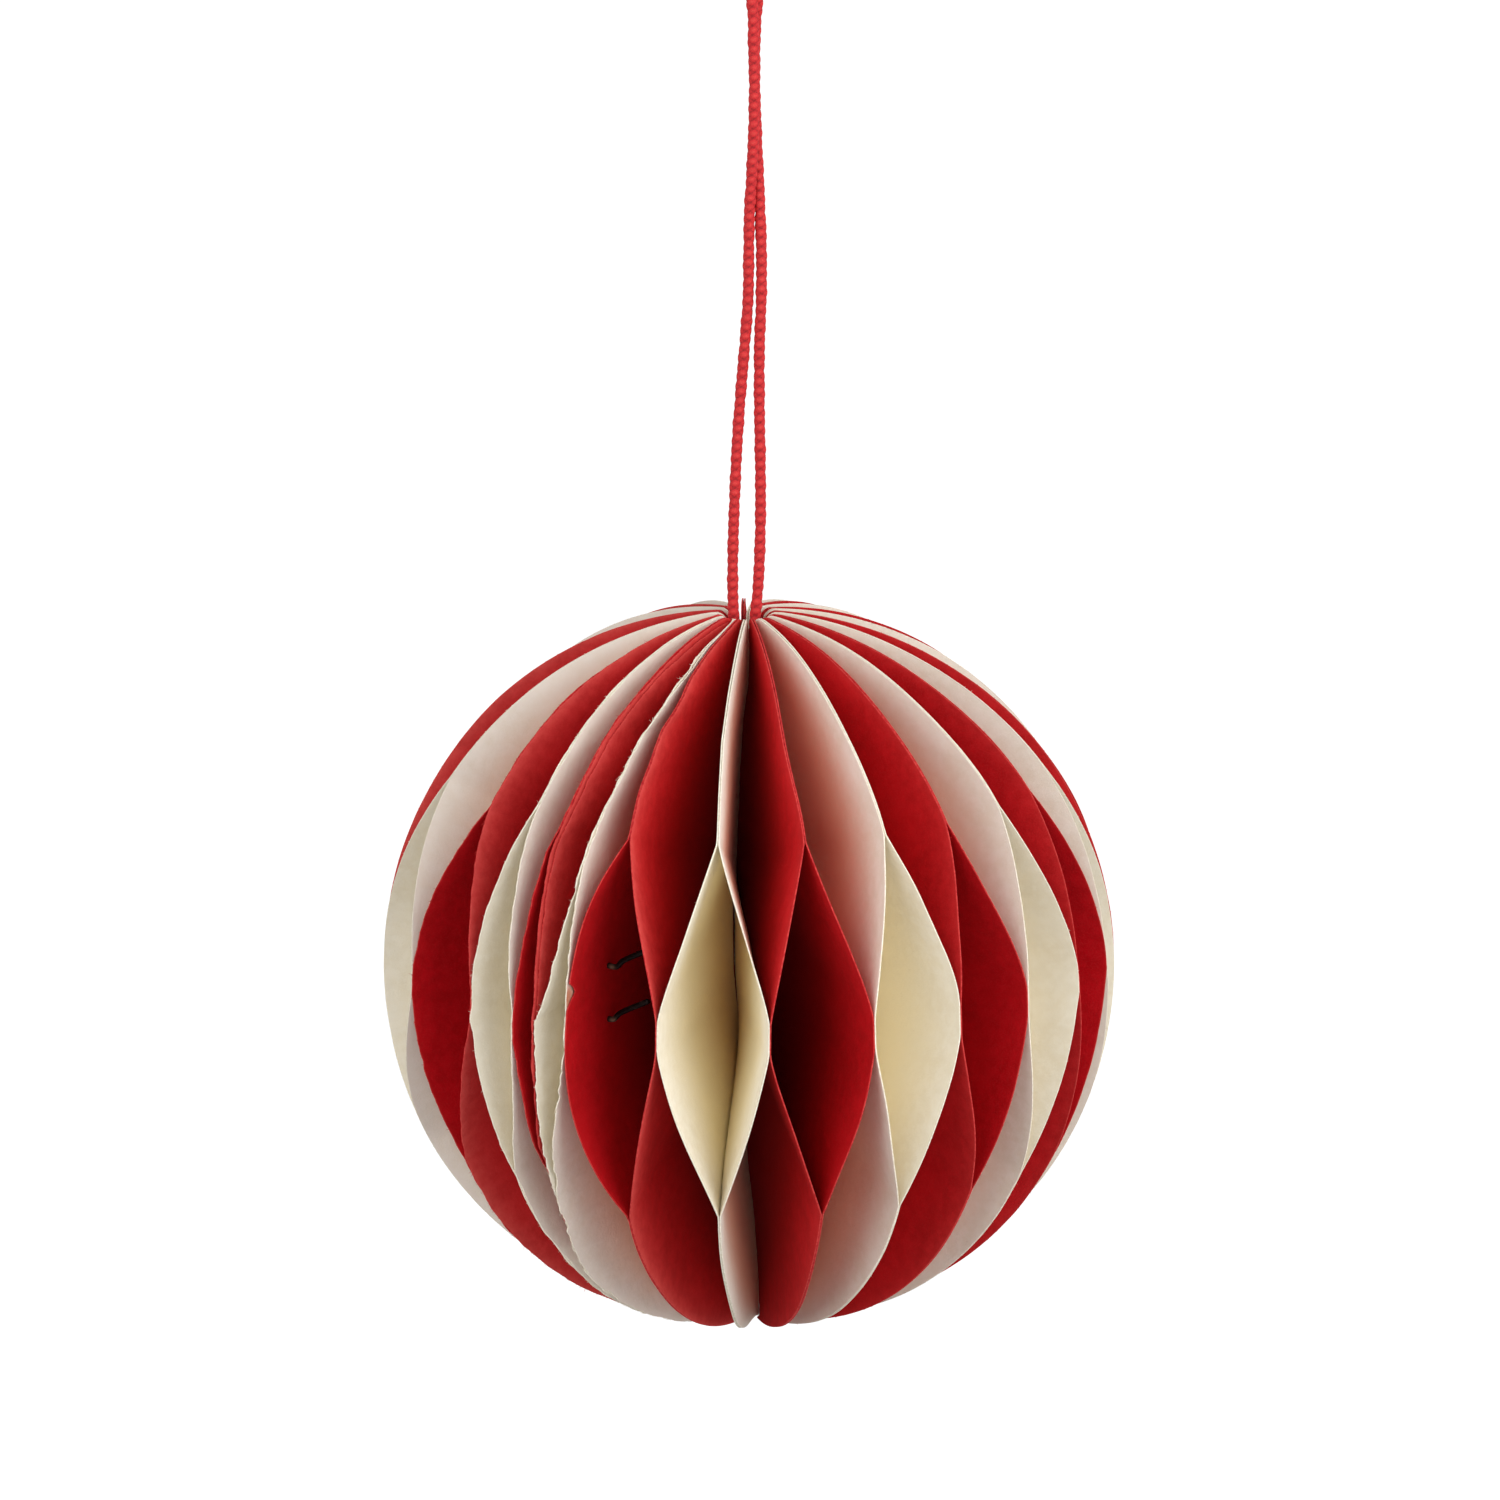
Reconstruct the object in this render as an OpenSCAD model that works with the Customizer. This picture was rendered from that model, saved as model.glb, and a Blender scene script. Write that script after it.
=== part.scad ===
/* [Ball] */
// Diameter of the ball over the edges of its leaves
ball_d = 70; // [50:1:120]
// Number of leaf pairs, cream and red in turn
pairs = 24; // [16:2:28]
// Thickness of the paper
paper_t = 0.18; // [0.1:0.01:0.25]
// Thickness of the glue between two leaves
glue_t = 0.02; // [0.01:0.01:0.05]
// Room that each leaf has beside its paper around the hollow core
spine_gap = 0.05; // [0.03:0.01:0.1]
// Radius of the rounded leaf corners beside the cord
corner_r = 1.2; // [0.8:0.1:2]

/* [Glued strips] */
// Height of a glued strip
glue_h = 2.8; // [1:0.1:4]
// Height where the pairs part above the middle, from the centre of the ball
upper_z = 20.1; // [17:0.1:22]
// Height of the middle of the glued strips between the pairs
middle_z = 2.8; // [-2:0.1:4]
// Height where the pairs part below the middle
lower_z = -15.6; // [-20:0.1:-13]
// How straight the leaf edges run between two strips, 1 is a straight run
swing_ease = 1.2; // [1:0.05:1.6]

/* [Closing seam] */
// How far the edge of the last leaf stays inside the edge of the ball
closing_inset = 0.4; // [0.1:0.1:1]

/* [Staple] */
// Diameter of the staple wire
wire_d = 0.55; // [0.4:0.05:0.7]
// Distance between the two legs
staple_w = 5.2; // [4:0.1:8]
// Height of the lower leg above the centre of the ball
staple_z = 1.3; // [0.5:0.1:3]
// How far the staple sits inside the edge of the ball
staple_inset = 8.1; // [6:0.1:12]
// Length of a leg past its bend
leg_l = 3.6; // [1:0.1:4]
// Upward slant of the leg ends
leg_tilt = 27; // [0:1:40]
// Clearance around a leg in the paper
leg_gap = 0.05; // [0.02:0.01:0.1]

/* [Torn notch] */
// Depth of the tear in the edge of one leaf
notch_depth = 1.7; // [0.5:0.1:3]
// Height of the tear along the edge
notch_h = 2.2; // [1:0.1:4]
// Height of the deepest point of the tear above the centre of the ball
notch_z = 5.4; // [4:0.1:10]

/* [Cord] */
// Diameter of the cord
cord_d = 1; // [0.8:0.1:1.2]
// Diameter of the knot in the core
knot_d = 3; // [2.6:0.1:3.2]
// Height of the knot
knot_h = 3.6; // [3.2:0.1:5]

/* [Hidden] */
ball_r = ball_d / 2;
leaves = 2 * pairs + 1;
leaf_pitch = paper_t + glue_t;
core_r = leaves * (paper_t + spine_gap) / (2 * PI);

// Relative widths of the cells, hand-pulled and so uneven, from the front pair on towards +X
upper_widths = [16, 17, 13.5, 15, 12.5, 14.5, 10, 14, 11, 16.5, 11.5, 12,
                21.5, 24, 18, 13, 22.5, 22.5, 22, 13, 7, 7, 8, 17.5];
middle_widths = [17, 15, 14.5, 13.5, 14, 12, 12, 11, 14, 14, 12, 16.5,
                 22.5, 21, 16, 18, 23, 23.5, 17.5, 9.5, 4.5, 5.5, 15.5, 17.5];
lower_widths = [18, 14.5, 16, 13.5, 12.5, 13, 12, 13, 11, 15, 12, 13,
                20.5, 22.5, 18, 14, 22, 23, 23.5, 13, 4.5, 3.5, 15, 16];
// Directions of the front pair at its upper and lower strips, and of the first middle strip beside it
upper_start = -5.7;
middle_start = 3.1;
lower_start = -5.8;
// Direction of the first leaf at the core, turned so that no leaf slants much
core_start = -4;

// Strips that sit a little off the line, as [pair, upwards in shares of the ball's radius]
upper_slips = [[20, 0.034], [21, 0.014], [22, -0.071]];
middle_slips = [[18, -0.009], [20, -0.026], [21, -0.034], [22, -0.017]];
lower_slips = [[19, 0.043], [20, 0.063], [21, 0.043], [22, 0.02], [23, -0.023]];

// To the left of the front pair: the torn notch's pair, the staple's pair that the staple joins to it,
// and the pair that the last leaf is laminated onto, to close the ball
notch_pair = pairs - 1;
staple_pair = pairs - 2;
closing_pair = pairs - 3;

cream = [0.93, 0.88, 0.77];
red = [0.68, 0.09, 0.09];

function total(list, n) = n == 0 ? 0 : list[(n - 1) % len(list)] + total(list, n - 1);
function direction(widths, start, n) =
    start + 360 * total(widths, (n + pairs) % pairs) / total(widths, pairs)
    - (n < 0 ? 360 : 0) + (n >= pairs ? 360 : 0);
function polar(r, a) = [r * sin(a), -r * cos(a)];

// A leaf is [pair, side], where side 0 faces the pair before, 1 the pair after and 2 is the closing leaf
function neighbour(leaf) = leaf[1] == 0 ? leaf[0] - 1 : leaf[0];
function slip(slips, pair) =
    ball_r * total([for (s = slips) s[0] == (pair + pairs) % pairs ? s[1] : 0], len(slips));
function top_of(leaf) = upper_z + slip(upper_slips, leaf[0]);
function middle_of(leaf) = middle_z + slip(middle_slips, neighbour(leaf));
function bottom_of(leaf) = lower_z + slip(lower_slips, leaf[0]);
function edge_of(leaf) = ball_r - (leaf[1] == 2 ? closing_inset : 0);
// Height where the rounded corner beside the cord starts
function corner_z(leaf) = sqrt(pow(edge_of(leaf), 2) - pow(core_r + corner_r, 2)) - corner_r;

// Share of the swing from a pair's direction to the glued strip in the middle
function swing(leaf, z) =
    let (
        above = (top_of(leaf) - z) / (top_of(leaf) - middle_of(leaf) - glue_h / 2),
        below = (z - bottom_of(leaf)) / (middle_of(leaf) - glue_h / 2 - bottom_of(leaf)))
    1 - pow(1 - max(0, min(1, above, below)), swing_ease);

function slot_of(leaf) = 2 * leaf[0] + leaf[1] + (leaf[0] > closing_pair ? 1 : 0);
function core_angle(leaf) = core_start + 360 * slot_of(leaf) / leaves;

// Places in the stack of two or three leaves at a glued strip, in leaf pitches from its middle
function place_in_pair(leaf) = leaf[0] == closing_pair ? leaf[1] - 1 : leaf[1] - 0.5;
function place_in_strip(leaf) =
    leaf[1] == 2 ? 0 :
    leaf[1] == 1 ? (leaf[0] == closing_pair ? -1 : -0.5) :
    (leaf[0] == closing_pair + 1 ? 1 : 0.5);

function pair_angle(leaf, z) =
    z > middle_of(leaf) ? direction(upper_widths, upper_start, leaf[0])
    : direction(lower_widths, lower_start, leaf[0]);
function strip_angle(leaf) = direction(middle_widths, middle_start, neighbour(leaf));

// Point of the leaf's middle surface at the full radius of the ball
function outer_point(leaf, z) =
    let (
        w = swing(leaf, z),
        a = pair_angle(leaf, z) * (1 - w) + strip_angle(leaf) * w,
        place = place_in_pair(leaf) * (1 - w) + place_in_strip(leaf) * w)
    polar(ball_r, a) + place * leaf_pitch * [cos(a), sin(a)];

function edge_r(leaf, z) = sqrt(pow(edge_of(leaf), 2) - pow(z, 2));
function inner_r(leaf, z) =
    z <= corner_z(leaf) ? core_r
    : core_r + corner_r - sqrt(pow(corner_r, 2) - pow(z - corner_z(leaf), 2));

// One cross section: the leaf runs straight from its slot at the core to its edge
function section(leaf, z) =
    let (
        a = polar(core_r, core_angle(leaf)),
        b = outer_point(leaf, z),
        along = (b - a) / norm(b - a),
        side = paper_t / 2 * [-along[1], along[0]],
        foot = a * along,
        near = sqrt(pow(inner_r(leaf, z), 2) - a * a + foot * foot) - foot,
        far = sqrt(pow(edge_r(leaf, z), 2) - a * a + foot * foot) - foot)
    [for (q = [[near, -1], [far, -1], [far, 1], [near, 1]])
        let (p = a + along * q[0] + side * q[1]) [p[0], p[1], z]];

// Heights of a leaf's cross sections, from the bottom up
function arc_heights(low, high, steps) =
    let (a = asin(low / ball_r), b = asin(high / ball_r))
    [for (i = [0 : steps - 1]) ball_r * sin(a + (b - a) * i / steps)];
function heights(leaf) =
    let (
        foot = -sqrt(pow(edge_of(leaf), 2) - pow(core_r + 2 * paper_t, 2)),
        low = middle_of(leaf) - glue_h / 2,
        corner = corner_z(leaf))
    concat(
        arc_heights(foot, bottom_of(leaf), 8),
        arc_heights(bottom_of(leaf), low, 5),
        [low],
        arc_heights(low + glue_h, top_of(leaf), 5),
        arc_heights(top_of(leaf), corner, 6),
        [for (share = [0, 0.45, 0.8, 0.97]) corner + share * corner_r]);

// A solid lofted through rings of n points each, which turn to the left seen from its end.
// The two halves of a ring are split along mirrored diagonals, so a twisted leaf keeps its thickness.
module loft(rings) {
    n = len(rings[0]);
    last = len(rings) - 1;
    polyhedron(
        points = [for (ring = rings, p = ring) p],
        faces = concat(
            [[for (i = [0 : n - 1]) i]],
            [for (j = [0 : last - 1], i = [0 : n - 1])
                let (a = j * n + i, b = j * n + (i + 1) % n)
                each i < n / 2 ? [[a, a + n, b + n], [a, b + n, b]] : [[a, a + n, b], [a + n, b + n, b]]],
            [[for (i = [n - 1 : -1 : 0]) last * n + i]]),
        convexity = 6);
}

module leaf_blank(leaf) {
    loft([for (z = heights(leaf)) section(leaf, z)]);
}

// The staple's own frame: x along the leaf, y across it through both leaves, z up
staple_leaf = [notch_pair, 0];
staple_foot = section(staple_leaf, staple_z + staple_w / 2);
staple_dir = (staple_foot[1] - staple_foot[0]) / norm(staple_foot[1] - staple_foot[0]);
staple_turn = atan2(staple_dir[1], staple_dir[0]);
module at_staple() {
    middle = (staple_foot[0] + staple_foot[3]) / 2;
    along = ball_r - staple_inset - core_r;
    translate([middle[0] + along * staple_dir[0], middle[1] + along * staple_dir[1], staple_z])
        rotate([0, 0, staple_turn]) children();
}

module staple_holes() {
    at_staple()
        for (z = [0, staple_w])
            translate([0, 0, z]) rotate([90, 0, 0])
                cylinder(d = wire_d + 2 * leg_gap, h = 20 * paper_t, center = true, $fn = 48);
}

module notch() {
    leaf = [notch_pair, 0];
    edge = section(leaf, notch_z);
    dir = (edge[1] - edge[0]) / norm(edge[1] - edge[0]);
    translate([edge[1][0], edge[1][1], notch_z])
        rotate([0, 0, atan2(dir[1], dir[0])]) rotate([90, 0, 0])
            linear_extrude(height = 4 * paper_t, center = true)
                polygon([[-notch_depth, 0], [1, -0.62 * notch_h], [1, 0.9 * notch_h]]);
}

module leaf(p, side) {
    color(p % 2 == 0 ? cream : red)
        difference() {
            leaf_blank([p, side]);
            if (p == notch_pair && side == 0) notch();
            if ((p == notch_pair && side == 0) || (p == staple_pair && side == 1)) staple_holes();
        }
}

module closing_leaf() {
    color(red) leaf_blank([closing_pair, 2]);
}

// Round wire or cord along a route, with rings that start beside the given direction
module tube(route, d, sides, beside) {
    last = len(route) - 1;
    loft([for (i = [0 : last])
        let (
            chord = route[min(i + 1, last)] - route[max(i - 1, 0)],
            t = chord / norm(chord),
            flat = beside - t * (beside * t),
            u = flat / norm(flat),
            v = cross(t, u))
        [for (k = [0 : sides - 1])
            route[i] + d / 2 * (cos(360 * k / sides) * u + sin(360 * k / sides) * v)]]);
}

module wire_staple() {
    // The crown lies behind the two leaves, the legs come out in front of them and bend up
    back = -1.5 * wire_d;
    bend = [[back, 0.9 * wire_d], [back + 0.27 * wire_d, 0.27 * wire_d], [back + 0.9 * wire_d, 0]];
    tip = [[0, 0], [0.55 * wire_d, 0.36 * wire_d], [1.1 * wire_d, wire_d], [2.2 * wire_d, 1.72 * wire_d],
           [1.45 * wire_d + leg_l * cos(leg_tilt), 1.36 * wire_d + leg_l * sin(leg_tilt)]];
    // Straight stretch of each leg in front of the leaves
    lower_run = 0.46 * wire_d;
    upper_run = 1.2 * wire_d;
    lower = concat(
        [for (i = [len(tip) - 1 : -1 : 0]) [0, lower_run + tip[i][0], tip[i][1]]],
        [for (i = [2 : -1 : 0]) [0, bend[i][0], bend[i][1]]]);
    upper = concat(
        [for (q = bend) [0, q[0], staple_w - q[1]]],
        [for (q = tip) [0, upper_run + q[0], staple_w + q[1]]]);
    color([0.16, 0.13, 0.12]) at_staple() tube(concat(lower, upper), wire_d, 12, [1, 0, 0]);
}

// Route of the cord: out of the core, up one strand, through the eye and back down the other strand
cord_route = [
    [-0.6, 0, 23.8], [-0.6, 0, 27], [-0.8, 0, 30], [-1.1, 0, 33], [-1.25, 0, 36],
    [-1.25, 0, 39.5], [-1.15, 0, 43], [-0.95, 0, 47.5], [-0.7, 0, 52], [-0.35, 0, 56.5],
    [0.05, 0, 61], [0.4, 0, 65.5], [0.5, -0.05, 70], [0.6, -0.15, 74], [0.85, -0.4, 78],
    [1.05, -0.55, 82], [1.15, -0.55, 86], [1.1, -0.5, 90], [1, -0.4, 94], [0.4, -0.15, 97.5],
    [-0.4, 0, 100], [-0.35, 0, 102.3], [1.25, 0, 103.7], [2.85, 0, 102.3], [2.9, 0, 100],
    [2.1, 0.15, 97.5], [1.5, 0.4, 94], [1.25, 0.5, 90], [1.2, 0.55, 86], [1.3, 0.55, 82],
    [1.45, 0.45, 78], [1.6, 0.25, 74], [1.7, 0.1, 70], [1.65, 0, 65.5], [1.45, 0, 61],
    [1.4, 0, 55], [1.45, 0, 49], [1.4, 0, 43], [1.15, 0, 37.5], [0.55, 0, 31], [0.55, 0, 23.8]];

module hanging_cord() {
    color([0.82, 0.2, 0.2]) tube(cord_route, cord_d, 8, [0, 1, 0]);
}

module cord_knot() {
    top = cord_route[0][2];
    color([0.82, 0.2, 0.2])
        translate([0, 0, top - knot_h])
            rotate_extrude($fn = 48)
                polygon([[0, 0], [0.3 * knot_d, 0], [knot_d / 2, 0.25 * knot_h],
                         [knot_d / 2, 0.75 * knot_h], [0.42 * knot_d, knot_h], [0, knot_h]]);
}

function two_digits(n) = str(n < 10 ? "0" : "", n);
function leaf_name(p, side) =
    str(p % 2 == 0 ? "cream_leaf_" : "red_leaf_", two_digits(2 * floor(p / 2) + side + 1));

for (p = [0 : pairs - 1], side = [0, 1])
    leaf(p, side);
closing_leaf();  // red_closing_leaf
wire_staple();
hanging_cord();
cord_knot();
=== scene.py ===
"""Looks of the honeycomb paper ball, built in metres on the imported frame."""

import math

import bpy
import numpy as np
from mathutils import Matrix, Vector


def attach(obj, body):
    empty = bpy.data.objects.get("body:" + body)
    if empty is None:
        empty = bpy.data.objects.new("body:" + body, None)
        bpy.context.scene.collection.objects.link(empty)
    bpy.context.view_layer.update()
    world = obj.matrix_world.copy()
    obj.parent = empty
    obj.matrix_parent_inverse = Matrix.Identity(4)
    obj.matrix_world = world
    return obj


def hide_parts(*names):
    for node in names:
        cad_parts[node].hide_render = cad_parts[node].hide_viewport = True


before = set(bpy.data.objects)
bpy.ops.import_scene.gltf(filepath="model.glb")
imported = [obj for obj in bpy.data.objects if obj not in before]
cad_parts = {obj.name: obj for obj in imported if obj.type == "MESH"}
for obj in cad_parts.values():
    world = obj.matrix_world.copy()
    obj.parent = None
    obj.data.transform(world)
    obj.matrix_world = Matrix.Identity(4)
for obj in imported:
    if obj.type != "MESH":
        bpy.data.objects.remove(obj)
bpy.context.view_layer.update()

MM = 0.001


# ---------------------------------------------------------------- camera

IMAGE_PX, SENSOR_MM, FOCAL_PX = 1500, 36, 12509.0
CAMERA_PLACE = (0, -1.14974, 0.34362)
CAMERA_ELEVATION, CAMERA_ROLL = 16.64, 0.45
# Where the camera aims, in pixels to the right of the ball's middle and above it
AIM_RIGHT, AIM_UP = 1, 213


def make_camera():
    """The photograph's camera: a long lens, 1.2 m away, that looks down on the ball and leans."""
    elevation, roll = math.radians(CAMERA_ELEVATION), math.radians(CAMERA_ROLL)
    pitch = math.atan(AIM_UP / FOCAL_PX)
    right = Vector((1, 0, 0))
    forward = Vector((0, math.cos(elevation), -math.sin(elevation)))
    up = Vector((0, math.sin(elevation), math.cos(elevation)))
    across = math.cos(roll) * right - math.sin(roll) * up
    upright = math.sin(roll) * right + math.cos(roll) * up
    aim = math.cos(pitch) * forward + math.sin(pitch) * upright + across * AIM_RIGHT / FOCAL_PX
    aim.normalize()
    upright = (upright - aim * upright.dot(aim)).normalized()
    across = aim.cross(upright)
    data = bpy.data.cameras.new("camera")
    data.lens = FOCAL_PX / IMAGE_PX * SENSOR_MM
    data.sensor_width = SENSOR_MM
    data.clip_start, data.clip_end = 0.05, 50
    camera = bpy.data.objects.new("camera", data)
    turn = Matrix((across, upright, -aim)).transposed().to_4x4()
    camera.matrix_world = Matrix.Translation(Vector(CAMERA_PLACE)) @ turn
    bpy.context.scene.collection.objects.link(camera)
    bpy.context.scene.camera = camera


make_camera()


# ---------------------------------------------------------------- helpers

def add_mesh(name, points_mm, faces, materials, face_material=None, smooth_angle=40,
             attributes=None):
    """A mesh piece from points in millimetres, its faces' material numbers and its point values."""
    mesh = bpy.data.meshes.new(name)
    mesh.from_pydata(np.asarray(points_mm, float) * MM, [], faces)
    for material in materials:
        mesh.materials.append(material)
    if face_material is not None:
        mesh.polygons.foreach_set("material_index", np.asarray(face_material, np.int32))
    mesh.polygons.foreach_set("use_smooth", np.ones(len(mesh.polygons), bool))
    for key, values in (attributes or {}).items():
        layer = mesh.attributes.new(key, "FLOAT", "POINT")
        layer.data.foreach_set("value", np.asarray(values, np.float32))
    mesh.update()
    mesh.set_sharp_from_angle(angle=math.radians(smooth_angle))
    piece = bpy.data.objects.new(name, mesh)
    bpy.context.scene.collection.objects.link(piece)
    return piece


def put(piece, node):
    """Let a piece ride on the part and stand for its node, which is hidden."""
    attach(piece, "root")
    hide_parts(node)


class Nodes:
    """A short way to write the node tree of a material or a world."""

    def __init__(self, owner):
        self.owner = owner
        owner.use_nodes = True
        self.tree = owner.node_tree
        self.tree.nodes.clear()

    def add(self, kind, settings=None, **inputs):
        node = self.tree.nodes.new("ShaderNode" + kind)
        for key, value in (settings or {}).items():
            setattr(node, key, value)
        for key, value in inputs.items():
            self.set(node, key.replace("_", " "), value)
        return node

    def set(self, node, key, value):
        """Link a socket, given by name or number, or give it a value."""
        if isinstance(value, bpy.types.NodeSocket):
            self.tree.links.new(value, node.inputs[key])
        else:
            node.inputs[key].default_value = value

    def math(self, operation, a, b=0.0):
        node = self.add("Math", {"operation": operation})
        self.set(node, 0, a)
        self.set(node, 1, b)
        return node.outputs[0]

    def mix(self, factor, a, b):
        node = self.add("Mix", {"data_type": "RGBA"})
        for key, value in ((0, factor), (6, a), (7, b)):
            self.set(node, key, value)
        return node.outputs[2]

    def ramp(self, value, low, high, out_low=0.0, out_high=1.0):
        node = self.add("MapRange", {"clamp": True, "interpolation_type": "SMOOTHSTEP"})
        for key, number in enumerate((value, low, high, out_low, out_high)):
            self.set(node, key, number)
        return node.outputs[0]

    def noise(self, vector, scale, detail=3.0, roughness=0.55, distortion=0.0):
        return self.add("TexNoise", Vector=vector, Scale=scale, Detail=detail,
                        Roughness=roughness, Distortion=distortion).outputs["Fac"]

    def attribute(self, name):
        return self.add("Attribute", {"attribute_name": name}).outputs["Fac"]

    def place_mm(self):
        """The place on the object, in millimetres."""
        place = self.add("TexCoord").outputs["Object"]
        return self.add("Mapping", Vector=place, Scale=(1 / MM, 1 / MM, 1 / MM)).outputs[0]

    def surface(self, colour, roughness, relief, strength, depth_mm, **finish):
        """The material with its colour, roughness, relief and the shader's other sockets."""
        bump = self.add("Bump", Strength=strength, Distance=depth_mm * MM, Height=relief)
        shader = self.add("BsdfPrincipled", Base_Color=colour, Roughness=roughness,
                          Normal=bump.outputs[0], **finish)
        self.add("OutputMaterial", Surface=shader.outputs[0])
        return self.owner

    def seen_directly(self):
        """1 for what the camera sees, also in gloss or through glass, and 0 for light on things."""
        path = self.add("LightPath").outputs
        seen = self.math("MAXIMUM", path["Is Camera Ray"], path["Is Glossy Ray"])
        return self.math("MAXIMUM", seen, path["Is Transmission Ray"])


def srgb(r, g, b):
    """Linear colour from 0-255 sRGB numbers."""
    def line(c):
        c /= 255
        return c / 12.92 if c <= 0.04045 else ((c + 0.055) / 1.055) ** 2.4
    return (line(r), line(g), line(b), 1)


# ---------------------------------------------------------------- materials

def paper(name, base, light, dark, deep, outer_deep, depth, core, sheen_and_speckle, rim, gap_shade,
          speckle, specular, sheen, sheen_tint):
    """Soft cotton paper: cloudy pulp, felted fibres, a fine speckle, a painted sheen near the rim
    and a thin painted highlight along the rim.

    Painted shade and bounced light in the cells: its colour turns to deep, on a leaf's outward face
    to outer_deep, over the depth from the rim in millimetres, and near the ball's core to core.
    """
    n = Nodes(bpy.data.materials.new(name))
    mm = n.place_mm()
    cloud = n.noise(mm, 0.11, 3)
    mottle = n.noise(mm, 0.85, 5, 0.62)
    grain = n.noise(mm, 6.5, 3, 0.6)
    strand = n.noise(mm, 1.9, 6, 0.55, 1.6)
    fibre = n.ramp(n.math("ABSOLUTE", n.math("SUBTRACT", strand, 0.5)), 0.0, 0.016, 1.0, 0.0)
    colour = n.mix(n.ramp(mottle, 0.35, 0.68), dark, base)
    colour = n.mix(n.ramp(cloud, 0.42, 0.72, 0.0, 0.55), colour, light)
    colour = n.mix(n.math("MULTIPLY", fibre, 0.22), colour, light)
    edge = n.attribute("rim")
    # Painted shade and bounced light deeper in the cells and near the core: the red paper darker,
    # the cream warmer
    colour = n.mix(n.ramp(edge, *depth), colour, n.mix(n.attribute("outside"), deep, outer_deep))
    colour = n.mix(n.ramp(edge, 13.0, 32.0), colour, core)
    # A painted sheen: paler near the rim on the outward faces
    painted_sheen = n.math("MULTIPLY", n.attribute("painted_sheen"), n.ramp(mottle, 0.2, 0.75, 0.7, 1.25))
    colour = n.mix(painted_sheen, colour, sheen_and_speckle)
    # Painted shade and bounced red light in the narrow gap behind the notch
    colour = n.mix(n.attribute("gap_shade"), colour, gap_shade)
    # The paper's own fine speckle, towards the same paler colour
    colour = n.mix(n.ramp(grain, 0.4, 0.72, 0.0, speckle), colour, sheen_and_speckle)
    ragged = n.math("ADD", edge, n.math("MULTIPLY", n.math("SUBTRACT", grain, 0.5), 0.24))
    # A painted highlight: a thin paler band along the rim, where the edge catches light
    colour = n.mix(n.ramp(ragged, 0.0, 0.13, 0.35, 0.0), colour, rim)
    relief = n.math("ADD", n.math("MULTIPLY", mottle, 0.9), n.math("MULTIPLY", grain, 0.22))
    relief = n.math("ADD", relief, n.math("MULTIPLY", fibre, 0.12))
    return n.surface(colour, 0.92, relief, 0.55, 0.12, Specular_IOR_Level=specular,
                     Sheen_Weight=sheen, Sheen_Roughness=0.6, Sheen_Tint=sheen_tint)


def cut_edge(name, base, dark, sheen_tint):
    """The paper's cut border, with short loose fibres, painted paler than the faces as a highlight
    where the edge catches light.
    """
    n = Nodes(bpy.data.materials.new(name))
    mm = n.place_mm()
    tuft = n.noise(mm, 3.2, 4, 0.65)
    grain = n.noise(mm, 11.0, 2, 0.6)
    colour = n.mix(n.ramp(tuft, 0.36, 0.62), dark, base)
    relief = n.math("ADD", tuft, n.math("MULTIPLY", grain, 0.3))
    return n.surface(colour, 0.95, relief, 0.5, 0.08, Specular_IOR_Level=0.15,
                     Sheen_Weight=0.08, Sheen_Roughness=0.6, Sheen_Tint=sheen_tint)


def cord_cotton():
    """Red waxed cotton, with painted shade, deep crimson, in the braid's grooves and a painted
    highlight, coral, on top of its strands.
    """
    n = Nodes(bpy.data.materials.new("cord_cotton"))
    mm = n.place_mm()
    yarn = n.noise(mm, 9.0, 3, 0.6)
    patch = n.noise(mm, 0.9, 3, 0.5)
    level = n.math("ADD", n.attribute("height"),
                   n.math("MULTIPLY", n.math("SUBTRACT", yarn, 0.5), 0.5))
    # Painted shade in the braid's grooves and painted highlight on its crowns, by the strands'
    # height
    colour = n.mix(n.ramp(level, 0.15, 0.8), srgb(134, 10, 18), srgb(200, 36, 40))
    colour = n.mix(n.ramp(level, 0.75, 1.15, 0.0, 0.7), colour, srgb(220, 78, 70))
    colour = n.mix(n.ramp(patch, 0.4, 0.7, 0.0, 0.25), colour, srgb(172, 24, 30))
    return n.surface(colour, 0.72, yarn, 0.6, 0.06, Specular_IOR_Level=0.35,
                     Sheen_Weight=0.08, Sheen_Roughness=0.45, Sheen_Tint=srgb(255, 170, 160))


def staple_steel():
    """Dark drawn steel wire, worn grey in spots, with a painted highlight, dull grey, where it
    comes through the paper.
    """
    n = Nodes(bpy.data.materials.new("staple_steel"))
    mm = n.place_mm()
    spots = n.noise(mm, 2.2, 4, 0.6)
    scratch = n.noise(mm, 14.0, 2, 0.5)
    colour = n.mix(n.ramp(spots, 0.56, 0.72), srgb(17, 12, 10), srgb(62, 53, 46))
    # Painted highlight where the wire comes through the paper
    colour = n.mix(n.attribute("painted_highlight"), colour, srgb(128, 112, 92))
    return n.surface(colour, n.ramp(spots, 0.4, 0.7, 0.42, 0.55), scratch, 0.4, 0.03,
                     Metallic=0.6, Specular_IOR_Level=0.2)


# Painted shade, brownish, in the narrow gap behind the torn notch
GAP_SHADE_TINT = srgb(190, 118, 84)
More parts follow.
